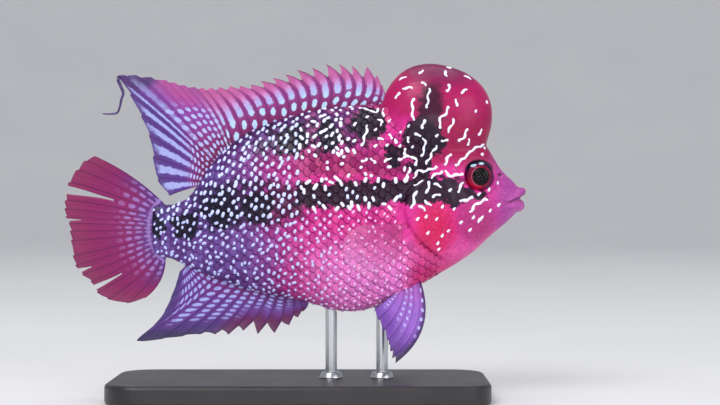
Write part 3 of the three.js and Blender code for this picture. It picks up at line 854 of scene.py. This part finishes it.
# Dark patches of the pattern, each a middle and half sizes in mm
darkPatches = [
    (31.2, 65.6, 5.8, 6.2), (31, 58.6, 3.2, 4.2), (-1.6, 65.4, 4.9, 4.1), (7.3, 66.6, 3.8, 4.4),
    (17.4, 69.6, 4.4, 5.2), (-10.4, 48.2, 4.6, 4.6), (-20, 48, 5, 5.8), (-36.6, 44.6, 1.9, 4.2),
    (-29, 44, 3.6, 4), (24, 62, 2.2, 3.6), (38.6, 51.6, 5.2, 2.9), (44.6, 51.4, 3, 1.6),
]
band = dict(x=22, z=52.4, rise=0.045, half=3.5)
skinPaint = dict(
    dome="#b01458", domeTop="#6a0a42", brow="#a00c44", snout="#a8449a", lips="#b852a6", cheek="#b02c74",
    gill="#d60a54", throat="#e4227a", stripe="#94145c", back="#4e1c66", flank="#dc2a92", belly="#fa88e0",
    rear="#5c3a86", stalk="#443074", lower="#6c4494", dark="#0d0a20", veil="#4a1c5c", speckle="#f07cb4",
)


def spot(x, z, patch):
    # 1 in the middle of an ellipse, 0 on its edge and less outside
    middleX, middleZ, halfX, halfZ = patch
    across, up = (x - middleX) / halfX, (z - middleZ) / halfZ
    return 1 - (across * across + up * up)


def markings(finish):
    # the skin's colour, shared by skin and scales, with its darkness, the place and the length in mm
    place, (x, _, z) = finish.here()
    fine, coarse = finish.noise(place, 0.55, 3, 0.6), finish.noise(place, 0.16)
    shiftX = x + (fine - 0.5) * 8 + (coarse - 0.5) * 5
    shiftZ = z + (finish.noise(place, 0.42, 3, 0.6) - 0.5) * 6 + (finish.noise(place, 1) - 0.5) * 2.2
    p = skinPaint
    colour = finish.over(
        paint(p["rear"]),
        (shiftX.ease(-22, 8), p["flank"]),
        (shiftX.ease(-26, -37), p["stalk"]),
        (shiftZ.ease(44, 34) * shiftX.ease(-6, 14), p["belly"]),
        (shiftZ.ease(46, 38) * shiftX.ease(0, -14) * 0.8, p["lower"]),
        (shiftZ.ease(57, 68) * shiftX.ease(26, 10), p["back"]),
        (shiftZ.ease(55, 57.5) * shiftZ.ease(64, 60.5) * shiftX.ease(-6, 4) * x.ease(33, 25) * 0.9,
         p["stripe"]),
        (x.ease(24, 31) * shiftZ.ease(46, 30), p["throat"]),
        (spot(x, shiftZ, (34.2, 43.4, 6.8, 9.2)).ease(-0.1, 1), p["gill"]),
        (spot(x, z, (44.5, 45.5, 6, 7)).ease(0, 0.7) * 0.8, p["cheek"]),
        (shiftZ.ease(57, 61) * x.ease(27, 33), p["brow"]),
        (shiftZ.ease(68, 74) * x.ease(18, 22), p["dome"]),
        (spot(x, z, (36, 86, 14, 9)).ease(0, 0.9) * 0.85, p["domeTop"]),
        (x.ease(46.5, 53) * z.ease(66, 61), p["snout"]),
        (x.ease(52.2, 54.4) * z.ease(52.2, 50.6), p["lips"]),
        (finish.noise(place, 3, 2, 0.6).ease(0.52, 0.66) * x.ease(27, 34) * z.ease(66, 58) * 0.28,
         p["speckle"]),
        (finish.noise(place, 2.3, 1).ease(0.4, 0.32) * x.ease(30, 40) * 0.3, p["veil"]),
        (finish.noise(place, 1.3, 4, 0.65).ease(0.35, 0.75) * 0.35, p["veil"]),
    )
    inBand = 1 - abs(shiftZ - band["z"] - (x - band["x"]) * band["rise"]) / band["half"]
    dark = inBand.ease(0, 0.22) * shiftX.ease(-3, -1) * shiftX.ease(42, 39)
    for patch in darkPatches:
        dark = dark.greatest(spot(shiftX, shiftZ, patch).ease(-0.05, 0.3))
    crownX, crownZ = x + (fine - 0.5) * 5, z + (coarse - 0.5) * 5
    net = finish.noise(place, 0.6).ease(0.37, 0.47) * 0.85
    upper = finish.noise(place, 0.5).ease(0.46, 0.56) * 0.8
    for part in (
        spot(shiftX, shiftZ, (-5, 50.6, 6, 3.8)).ease(0, 0.5) * 0.85,
        spot(shiftX, shiftZ, (-12, 49.6, 18, 7.5)).ease(0, 0.5) * net,
        spot(shiftX, shiftZ, (2, 66, 22, 6)).ease(0, 0.5) * upper,
        spot(crownX, crownZ, (33.2, 74, 4.2, 7.4)).ease(0, 0.75) * 0.9,
        finish.away(x - eye["x"], z - eye["z"]).ease(4.5, 3.9) * z.ease(57.5, 59),
    ):
        dark = dark.greatest(part)
    colour = finish.over(
        colour,
        (dark * 0.97, p["dark"]),
        # painted shade: the nostril pit is coloured dark, standing in for the shade inside the recess
        (spot(x, z, (nostril["x"], nostril["z"], 0.55, 0.45)).ease(0, 0.6) * 0.8, p["dark"]),
        # painted shade: a thin dark line along the mouth crease between the lips
        (abs(z - 51.2 - (x - 56) * 0.45).ease(0.34, 0.1) * x.ease(52.6, 53.6) * 0.7, p["dark"]),
    )
    return colour, dark, place, x


def skinFinish():
    finish = Finish(
        "wet_skin", Coat_Roughness=0.1, IOR=1.42, Specular_IOR_Level=0.25, Subsurface_Weight=0.05,
    )
    finish.feed("Subsurface Radius", (0.9, 0.25, 0.2))
    finish.feed("Subsurface Scale", 0.001)
    colour, _, place, _ = markings(finish)
    grain = finish.noise(place, 2.6, 3, 0.6)
    finish.feed("Base Color", colour)
    finish.feed("Roughness", grain.ease(0.2, 0.9) * 0.16 + 0.34)
    finish.feed("Coat Weight", finish.noise(place, 0.3).ease(0.3, 0.7) * 0.15 + 0.08)
    finish.bump(grain, 0.00012, 0.5)
    return finish.material


def scaleFinish():
    finish = Finish("scale_plate", Coat_Roughness=0.12, IOR=1.45, Specular_IOR_Level=0.25)
    colour, dark, place, x = markings(finish)
    tone = finish.node("ShaderNodeAttribute", {"attribute_name": "tone"}, {}, "Fac")
    grain = finish.noise(place, 3.4, 3, 0.6)
    sheen = finish.over(paint("#8c74cc"), (x.ease(-14, 8), "#f0709c"))
    light, shade = tone.ease(0.2, 1) * 0.22 * (1 - dark), tone.ease(0.5, 0) * 0.24 * (1 - dark)
    finish.feed("Base Color", finish.over(colour, (light, sheen), (shade, "#3a1430")))
    finish.feed("Roughness", grain.ease(0.2, 0.9) * 0.16 + 0.3)
    finish.feed("Coat Weight", tone * 0.14 + 0.04)
    finish.bump(grain, 0.0001, 0.5)
    return finish.material


def pearlFinish():
    # painted glow: the pearls give off a faint light in their own colour, standing in for their iridescent
    # shine
    finish = Finish("pearl_spot", Coat_Weight=0.3, Coat_Roughness=0.15, IOR=1.45, Emission_Strength=0.12)
    place, _ = finish.here()
    tone = finish.node("ShaderNodeAttribute", {"attribute_name": "tone"}, {}, "Fac")
    stops = [(0, "#f4f0ff"), (0.35, "#d3dcff"), (0.7, "#b9bdf2"), (1, "#f8bce8")]
    stops = [(at, paint(code)) for at, code in stops]
    shade = finish.node("ShaderNodeValToRGB", {"stops": stops}, {0: tone}, "Color")
    cloud = finish.noise(place, 2.2)
    shade = finish.over(shade, (cloud.ease(0.35, 0.75) * 0.3, "#9ab4ee"))
    finish.feed("Base Color", shade)
    # painted glow: the pearl colour is also fed to the emission
    finish.feed("Emission Color", shade)
    finish.feed("Roughness", cloud * 0.15 + 0.25)
    return finish.material


# Each fin's colours at root, middle and margin, of its rays and its pale marks, and how solid it is
finPaint = dict(
    dorsal_fin=("#741850", "#943a86", "#c45c9e", "#4c1c58", "#b4bcf4", 0.93),
    anal_fin=("#7c2c80", "#704298", "#4a2c7c", "#2c1448", "#a8aef0", 0.95),
    tail_fin=("#64408c", "#8a2464", "#92205c", "#58164a", "#a484cc", 0.95),
    pelvic_fin=("#b46cc8", "#9c68cc", "#7a4ab0", "#4c2870", "#c8c8fa", 0.93),
    pectoral_fin=("#b43478", "#d868ac", "#eca8d8", "#a83478", "#f0a8d8", 0.13),
)


def ovals(part, along, phase, number, halfWidth, halfLength):
    # a row of oval marks up the skin between two rays
    across = (part - 0.5) / halfWidth
    up = ((along * number + phase).part() - 0.5) / halfLength
    return (1 - (across * across + up * up)).ease(0, 0.45)


def finFinish(fin, kind):
    root, middle, margin, ray, mark, solid = finPaint[kind]
    finish = Finish(
        kind + "_membrane", Coat_Weight=0.06, Coat_Roughness=0.2, IOR=1.4, Specular_IOR_Level=0.25,
    )
    unwrap = finish.node("ShaderNodeUVMap", {"uv_map": "fin"}, {}, 0)
    share, t = (finish.node("ShaderNodeSeparateXYZ", {}, {0: unwrap}, axis) for axis in "XY")
    u = share * (fin["rays"] - 1)
    place, (x, _, z) = finish.here()
    reach = t + (finish.noise(place, 0.5) - 0.5) * 0.2
    part = (u + (finish.noise(place, 1.2, 1) - 0.5) * 0.25).part()
    chance = finish.node("ShaderNodeTexWhiteNoise", {"noise_dimensions": "1D"}, {"W": u.whole()}, 0)
    between = abs(u.part() - 0.5)
    line = between.ease(0.4, 0.48)
    layers = [(reach.ease(0, 0.42), middle), (reach.ease(0.5, 0.95), margin)]
    if kind == "dorsal_fin":
        soft, rear = u.ease(16, 19), u.ease(21, 24)
        spiny, inner = 1 - soft, soft * (1 - rear)
        layers += [
            (soft * reach.ease(0.1, 0.6), "#8a44a4"),
            (soft * u.ease(23, 20) * reach.ease(0.45, 0.8), "#b24c98"),
            (rear * reach.ease(0.1, 0.5), "#58388e"),
            (spot(x, z, (-43, 82.5, 8, 5)).ease(0, 0.7), "#4c2c70"),
        ]
        pearls = ovals(part, t, chance, 5, 0.29, 0.38) * t.ease(0.4, 0.34)
        streak = abs(part - 0.52).ease(0.32, 0.2) * (t + chance * 0.12).ease(0.38, 0.44) * t.ease(0.92, 0.5)
        small = ovals(part, t, chance, 11, 0.36, 0.36) * t.ease(0.72, 0.55)
        stripe = abs(part - 0.5).ease(0.27, 0.15) * reach.ease(0.22, 0.34) * reach.ease(1, 0.85) * 0.8
        dots = ovals(part, t, chance, 16, 0.34, 0.34) * t.ease(0.34, 0.28)
        dash = pearls.greatest(streak * 0.85) * spiny + small * inner * reach.ease(0.9, 0.5)
        dash = dash + rear * stripe.greatest(dots)
        mark = finish.over(
            paint(mark), (spiny * t.ease(0.42, 0.72), "#e08cc8"), (spiny * t.ease(0.5, 0.3), "#b8d8fa"),
        )
        line = line * (1 - inner * 0.35)
    elif kind == "anal_fin":
        spiny = 1 - u.ease(6, 8)
        far = spot(x, z, (-34, 13.8, 16, 3.2)).ease(-0.3, 0.5)
        layers += [(far * 0.9, "#341c5c"), (spiny * t.ease(0.4, 0.8), "#6a1c58")]
        dash = ovals(part, t, chance, 12, 0.33, 0.36) * reach.ease(0.74, 0.6) * u.ease(1, 4)
        dash = dash * (1 - far) * (1 - spiny * t.ease(0.3, 0.5))
    elif kind == "tail_fin":
        dash = ovals(part, t, chance, 9, 0.26, 0.4) * reach.ease(0.55, 0.25) * 0.75
        dash = dash.greatest(abs(t - 0.09).ease(0.03, 0.012) * 0.7)
        fine = (u * 2 * 3.14 * 3).wave().ease(0.2, 0.9)
        layers += [
            (fine * reach.ease(0.3, 0.6) * 0.35, ray),
            (abs(share - 0.5).ease(0.36, 0.5) * reach.ease(0.8, 0.3) * 0.8, "#543078"),
        ]
    elif kind == "pelvic_fin":
        dash = ovals(part, t, chance, 9, 0.2, 0.25) * t.ease(0.8, 0.5) * chance.ease(0.2, 0.5) * 0.9
        layers += [(u.ease(1, 0.15) * 0.85, "#2a1646"), (z.ease(16, 9.5) * 0.9, "#2a1440")]
    else:
        dash = between.ease(0.3, 0.1) * 0.2
    blotch = finish.noise(place, 1.1, 3).ease(0.45, 0.85) * 0.3
    layers += [(line * 0.7, ray), (dash, mark), (blotch, ray)]
    finish.feed("Base Color", finish.over(paint(root), *layers))
    finish.feed("Roughness", finish.noise(place, 1.6) * 0.2 + 0.32)
    if kind == "pectoral_fin":
        finish.feed("Alpha", line * 0.25 + solid + t.ease(0.22, 0) * 0.5)
    else:
        finish.feed("Alpha", (1 - t.ease(0.55, 1) * 0.2 * (1 - dash)) * solid + line * 0.05)
    finish.bump(finish.noise(place, 3.2, 3), 0.0001, 0.4)
    return finish.material


# Eyes: an iris with a raised pupil under a clear dome
def makeEye(side, iris, cornea):
    def seated(spot, radius, depth):
        return Vector((eye["x"] + spot.x * radius, side * (eye["y"] + depth), eye["z"] + spot.y * radius))

    def ballShape(spot):
        dish = 0.16 * (1 - smoothstep(0.55, 0.92, math.hypot(spot.x, spot.y)))
        lens = 0.14 * (1 - smoothstep(0.34, 0.47, math.hypot(spot.x - 0.07, spot.y + 0.04)))
        return seated(spot, eye["radius"], (spot.z + (lens - dish if spot.z > 0 else 0)) * eye["halfDepth"])

    def corneaShape(spot):
        bulge = 1.06 if spot.z > 0 else 0.5
        return seated(spot, eye["radius"] - 0.1, spot.z * eye["halfDepth"] * bulge + 0.06)

    for name, sides, rings, shape, material, nodes in (
        ("eye_ball", 64, 48, ballShape, iris, [sideName("eye", side)]),
        ("eye_cornea", 48, 32, corneaShape, cornea, ()),
    ):
        bm = bmesh.new()
        moldBall(bm, sides, rings, shape)
        finishPiece(newObject(sideName(name, side), bm), "eye", material, nodes)


def irisFinish():
    finish = Finish("iris", Roughness=0.3, Specular_IOR_Level=0.15)
    place, (length, _, height) = finish.here()
    x, z = length - eye["x"], height - eye["z"]
    whole, pupil = finish.away(x, z), finish.away(x - 0.35, (z + 0.15) * 0.94)
    streak = finish.noise(place, 1.6, 4, 0.7)
    flecks = spot(x, z, (0.5, 3.1, 0.75, 0.36)).ease(0, 0.5)
    flecks = flecks.greatest(spot(x - (z - 2.6) * 0.8, z, (-1.5, 2.62, 0.8, 0.4)).ease(0, 0.5))
    finish.feed("Base Color", finish.over(
        paint("#8e0c30"),
        (whole.ease(2, 3.4), "#5c1040"),
        (z.ease(0.2, -2.6) * x.ease(2.4, -1.5), "#c00a34"),
        (streak.ease(0.4, 0.75) * 0.45, "#3c0a26"),
        (abs(pupil - 2.3).ease(0.16, 0.04) * x.ease(0.8, -1) * 0.75, "#b85c84"),
        (pupil.ease(2.2, 2.04), "#050409"),
        (whole.ease(2.95, 3.15) * z.ease(0.9, 1.8), "#15102a"),
        (flecks, "#b8dcf8"),
    ))
    finish.bump(streak * pupil.ease(2.04, 2.5), 0.00012, 0.3)
    return finish.material


def corneaFinish():
    finish = Finish("cornea", Roughness=0.02, IOR=1.38, Coat_Weight=0.5, Coat_Roughness=0.02)
    cloud = finish.noise(finish.here()[0], 0.4)
    finish.feed("Base Color", finish.over(paint("#0c0a12"), (cloud, "#18121e")))
    finish.feed("Alpha", cloud * 0.04 + 0.1)
    return finish.material


# Filament drawn out from the dorsal fin's point, as number, length and height of each bend
filament = dict(
    y=0.3, thick=0.5, thin=0.2,
    points=[
        (0, -44.6, 82.3), (1, -46.9, 81.9), (2, -46.2, 79.6), (3, -45.6, 78), (4, -46.1, 76.2),
        (5, -46.5, 74.4), (6, -47.2, 72.9), (7, -49.2, 72.6), (8, -51.2, 72.7),
    ],
)


def makeFilament():
    line = tipThrough(filament["points"])

    def path(t):
        x, z = line(t * filament["points"][-1][0])
        return Vector((x, filament["y"], z))

    bm = bmesh.new()
    moldBall(bm, 12, 60, tubeShape(path, lambda t: lerp(filament["thick"], filament["thin"], t)))
    finish = Finish("filament", Coat_Weight=0.2, Coat_Roughness=0.2)
    grain = finish.noise(finish.here()[0], 1.4, 3)
    finish.feed("Base Color", finish.over(paint("#2f1c4c"), (grain.ease(0.35, 0.7), "#5a3a86")))
    finish.feed("Roughness", grain * 0.2 + 0.35)
    finishPiece(newObject("dorsal_filament_skin", bm), "fin", finish.material, ["dorsal_fin"])


# Stand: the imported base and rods, with steel collars at the rods' feet
stand = dict(rodX=(21, 8), top=5, radius=3.1, upperRadius=2.418, height=1.5, edge=0.22)


def makeCollars(material):
    bm = bmesh.new()
    for x in stand["rodX"]:
        made = bmesh.ops.create_cone(
            bm, cap_ends=True, segments=48, radius1=stand["radius"], radius2=stand["upperRadius"],
            depth=stand["height"],
        )
        bmesh.ops.translate(bm, verts=made["verts"], vec=(x, 0, stand["top"] + stand["height"] / 2))
    sharp = [e for e in bm.edges if e.calc_face_angle(0) > 0.6]
    bmesh.ops.bevel(
        bm, geom=sharp, offset=stand["edge"], segments=3, profile=0.5, affect="EDGES", material=-1,
    )
    finishPiece(newObject("rod_collars", bm), "rod", material)


def baseFinish():
    finish = Finish("satin_base", Coat_Weight=0.1, Coat_Roughness=0.25)
    place, _ = finish.here()
    grain, wear = finish.noise(place, 6, 4, 0.6), finish.noise(place, 0.12)
    finish.feed("Base Color", finish.over(paint("#1b1b1e"), (wear.ease(0.35, 0.7), "#242428")))
    finish.feed("Roughness", wear * 0.12 + grain * 0.08 + 0.3)
    finish.bump(grain, 0.00005, 0.4)
    return finish.material


def steelFinish():
    finish = Finish("brushed_steel", Metallic=1)
    place, _ = finish.here()
    drawn = finish.node("ShaderNodeVectorMath", {"operation": "MULTIPLY"}, {0: place, 1: (5, 5, 0.25)})
    brush = finish.noise(drawn, 1, 3)
    finish.feed("Base Color", finish.over(paint("#a8abb0"), (brush, "#d2d4d8")))
    finish.feed("Roughness", brush * 0.18 + 0.2)
    finish.bump(brush, 0.00003, 0.5)
    return finish.material


# Room: a pale round floor that curves up at its rim, soft lights and the camera, in metres
room = dict(flat=1.5, bend=0.9, height=2.2, segments=96, world=0.4, worldTint=(0.86, 0.88, 0.92, 1))
lamps = [
    # name, place, aim, width and height, power, tint
    ("key", (-0.28, -0.5, 0.62), (0, 0, 0.05), (0.4, 0.4), 3.6, (1, 0.98, 0.96)),
    ("fill", (0.6, -0.55, 0.28), (0.02, 0, 0.05), (0.5, 0.5), 1.9, (0.95, 0.97, 1)),
    ("front", (0, -0.75, 0.03), (0, 0, 0.045), (0.6, 0.25), 1.2, (1, 0.98, 1)),
    ("top", (0, 0.1, 2), (0, 0, 0.05), (1.8, 1.8), 20, (1, 1, 1)),
]
view = dict(place=(0.01536, -0.45, 0.0498), lens=87.9, near=0.01)


def makeFloor():
    bm = bmesh.new()
    profile = [(0, 0), (room["flat"] * 0.3, 0), (room["flat"], 0)]
    for angle in (i / 12 * math.pi / 2 for i in range(1, 13)):
        profile.append((room["flat"] + room["bend"] * math.sin(angle), room["bend"] * (1 - math.cos(angle))))
    profile.append((room["flat"] + room["bend"], room["height"]))
    verts = [bm.verts.new((r, 0, z)) for r, z in profile]
    edges = [bm.edges.new(pair) for pair in zip(verts, verts[1:])]
    bmesh.ops.spin(
        bm, geom=verts + edges, cent=(0, 0, 0), axis=(0, 0, 1), angle=2 * math.pi, steps=room["segments"],
        use_merge=True,
    )
    bmesh.ops.remove_doubles(bm, verts=bm.verts, dist=1e-5)
    floor = newObject("floor", bm)
    mesh = floor.data
    if sum(face.normal.z for face in mesh.polygons) < 0:
        mesh.flip_normals()
    mesh.polygons.foreach_set("use_smooth", [True] * len(mesh.polygons))
    finish = Finish("floor_paint")
    cloud = finish.noise(finish.here()[0], 0.01)
    finish.feed("Base Color", finish.over(paint("#dcdde0"), (cloud, "#e6e6e8")))
    finish.feed("Roughness", cloud * 0.1 + 0.55)
    mesh.materials.append(finish.material)


def place(name, data, spot, turn):
    thing = bpy.data.objects.new(name, data)
    thing.location = spot
    thing.rotation_euler = turn
    bpy.context.scene.collection.objects.link(thing)
    return thing


def makeRoom():
    makeFloor()
    for name, spot, aim, size, power, tint in lamps:
        data = bpy.data.lights.new(name, "AREA")
        data.shape = "RECTANGLE"
        data.size, data.size_y = size
        data.energy, data.color = power, tint
        place(name, data, spot, (Vector(aim) - Vector(spot)).to_track_quat("-Z", "Y").to_euler())
    scene = bpy.context.scene
    scene.world = bpy.data.worlds.new("studio")
    scene.world.use_nodes = True
    sockets = scene.world.node_tree.nodes["Background"].inputs
    sockets["Color"].default_value, sockets["Strength"].default_value = room["worldTint"], room["world"]
    scene.view_settings.view_transform = "Standard"
    data = bpy.data.cameras.new("camera")
    data.sensor_width, data.lens, data.clip_start = 36, view["lens"], view["near"]
    scene.camera = place("camera", data, view["place"], (math.pi / 2, 0, 0))
    print("room ready")


def makeFish():
    skin = makeSkin()
    surface = Surface(skin)
    seats = scalePlaces(surface)
    print(len(seats), "scales")
    makeScales(surface, seats, scaleFinish())
    makePearls(surface, seats, pearlFinish())
    finishPiece(skin, "skin", skinFinish(), [
        "head", "trunk", "tail_stalk", "nuchal_hump", "gill_cover_left", "gill_cover_right",
        "upper_lip", "lower_lip",
    ])
    for kind, fins in (
        ("dorsal_fin", [dorsalFin]), ("anal_fin", [analFin]), ("tail_fin", [tailFin]),
        ("pectoral_fin", [pectoralFin(-1), pectoralFin(1)]), ("pelvic_fin", [pelvicFin(-1), pelvicFin(1)]),
    ):
        material = finFinish(fins[0], kind)
        for fin in fins:
            makeFin(fin, material)
    makeFilament()
    iris, cornea = irisFinish(), corneaFinish()
    for side in (-1, 1):
        makeEye(side, iris, cornea)


def makeStand():
    steel = steelFinish()
    makeCollars(steel)
    paints = dict(stand_base=baseFinish(), stand_rod_front=steel, stand_rod_rear=steel)
    for node, material in paints.items():
        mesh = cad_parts[node].data
        mesh.materials.clear()
        mesh.materials.append(material)
    print("stand ready")


makeFish()
makeStand()
makeRoom()
